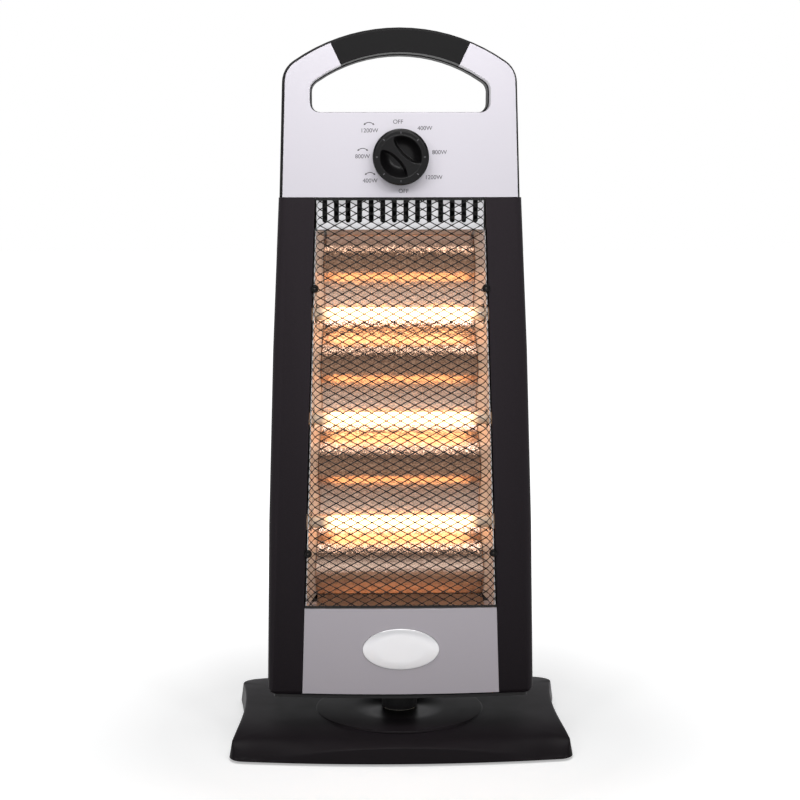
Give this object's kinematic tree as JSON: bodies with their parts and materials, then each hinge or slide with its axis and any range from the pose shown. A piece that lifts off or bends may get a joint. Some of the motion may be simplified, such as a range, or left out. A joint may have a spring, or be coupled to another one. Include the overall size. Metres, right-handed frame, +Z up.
{
  "type": "halogen heater",
  "caption": "Upright oscillating halogen heater with glowing quartz lamps before a hammered reflector, mesh guard, dial, carry handle and a low swivel base.",
  "frame": {"origin": "on the floor under the middle of the base, 6 mm behind the swivel axis", "axes": "+Z up, -Y towards the guard and dial (front), +X to the right of someone behind the heater's front view"},
  "size_m": [0.2798, 0.204, 0.5884],
  "materials": {
    "black_gloss": "glossy injection-moulded black plastic",
    "black_matte": "fine-textured black plastic",
    "soft_rubber": "soft matt black rubber",
    "silver_plastic": "silver lacquered plastic",
    "white_plate": "white printed plate, left blank",
    "black_enamel": "black stove enamel on steel mesh",
    "hammered_aluminium": "hammer-embossed bright aluminium sheet",
    "bright_aluminium": "smooth bright aluminium sheet",
    "zinc_steel": "zinc-plated steel",
    "spring_steel": "drawn spring steel",
    "quartz_glass": "clear quartz tube lit from inside",
    "glowing_tungsten": "wound tungsten at working heat",
    "white_ceramic": "unglazed steatite ceramic",
    "white_nylon": "natural nylon",
    "cream_thermoset": "moulded thermoset",
    "dark_gloss": "glossy dark grey plastic",
    "wire_sleeve": "woven heat-proof sleeve over wires"
  },
  "bodies": {
    "base": {"base_shell": "black_gloss", "base_plate": "black_matte", "base_feet": "soft_rubber", "base_screws": "zinc_steel", "tip_switch": "cream_thermoset", "tip_spring": "spring_steel", "pivot_spindle": "zinc_steel", "thrust_washer": "white_nylon", "spindle_nut": "zinc_steel", "drive_arm": "zinc_steel", "arm_clip": "spring_steel"},
    "tip_plunger": {"tip_plunger": "white_nylon"},
    "heater": {"body_floor": "black_matte", "swivel_bush": "white_nylon", "column_left": "black_gloss", "column_right": "black_gloss", "rear_shell": "black_matte", "cord_gland": "soft_rubber", "cap_front": "silver_plastic", "cap_rear": "black_matte", "handle_grip": "soft_rubber", "lower_panel": "silver_plastic", "badge": "white_plate", "grille": "black_enamel", "grille_clips": "black_matte", "reflector": "hammered_aluminium", "cheek_left": "bright_aluminium", "cheek_right": "bright_aluminium", "reflector_top": "bright_aluminium", "reflector_floor": "bright_aluminium", "heat_shield": "zinc_steel", "lamp_upper": "quartz_glass", "lamp_middle": "quartz_glass", "lamp_lower": "quartz_glass", "filament_upper": "glowing_tungsten", "filament_middle": "glowing_tungsten", "filament_lower": "glowing_tungsten", "lamp_caps_upper": "white_ceramic", "lamp_caps_middle": "white_ceramic", "lamp_caps_lower": "white_ceramic", "bracket_left": "zinc_steel", "bracket_right": "zinc_steel", "rotary_switch": "cream_thermoset", "osc_motor": "zinc_steel", "thermal_cutout": "cream_thermoset", "terminal_block": "white_nylon", "wire_bundle": "wire_sleeve", "case_screws": "zinc_steel"},
    "knob": {"knob": "dark_gloss", "switch_spindle": "zinc_steel"},
    "crank": {"crank": "zinc_steel"}
  },
  "joints": [
    {"name": "swivel", "type": "hinge", "parent": "base", "child": "heater", "pos_m": [0, -0.006, 0.0225], "axis": [0, 0, 1], "range_deg": [-35, 35]},
    {"name": "crank_turn", "type": "hinge", "parent": "heater", "child": "crank", "pos_m": [0.044, -0.006, 0.07], "axis": [0, 0, 1], "range_deg": [-106, 106]},
    {"name": "knob_turn", "type": "hinge", "parent": "heater", "child": "knob", "pos_m": [0, -0.066, 0.486], "axis": [0, -1, 0], "continuous": true},
    {"name": "tip_press", "type": "slide", "parent": "base", "child": "tip_plunger", "axis": [0, 0, -1], "range_m": [0, 0.004], "stiffness_N_per_m": 200, "springref_m": 0.006, "deforming": ["tip_spring"]}
  ],
  "couplings": [
    {"joint": "crank_turn", "follows": "swivel", "ratio": -3.02}
  ]
}
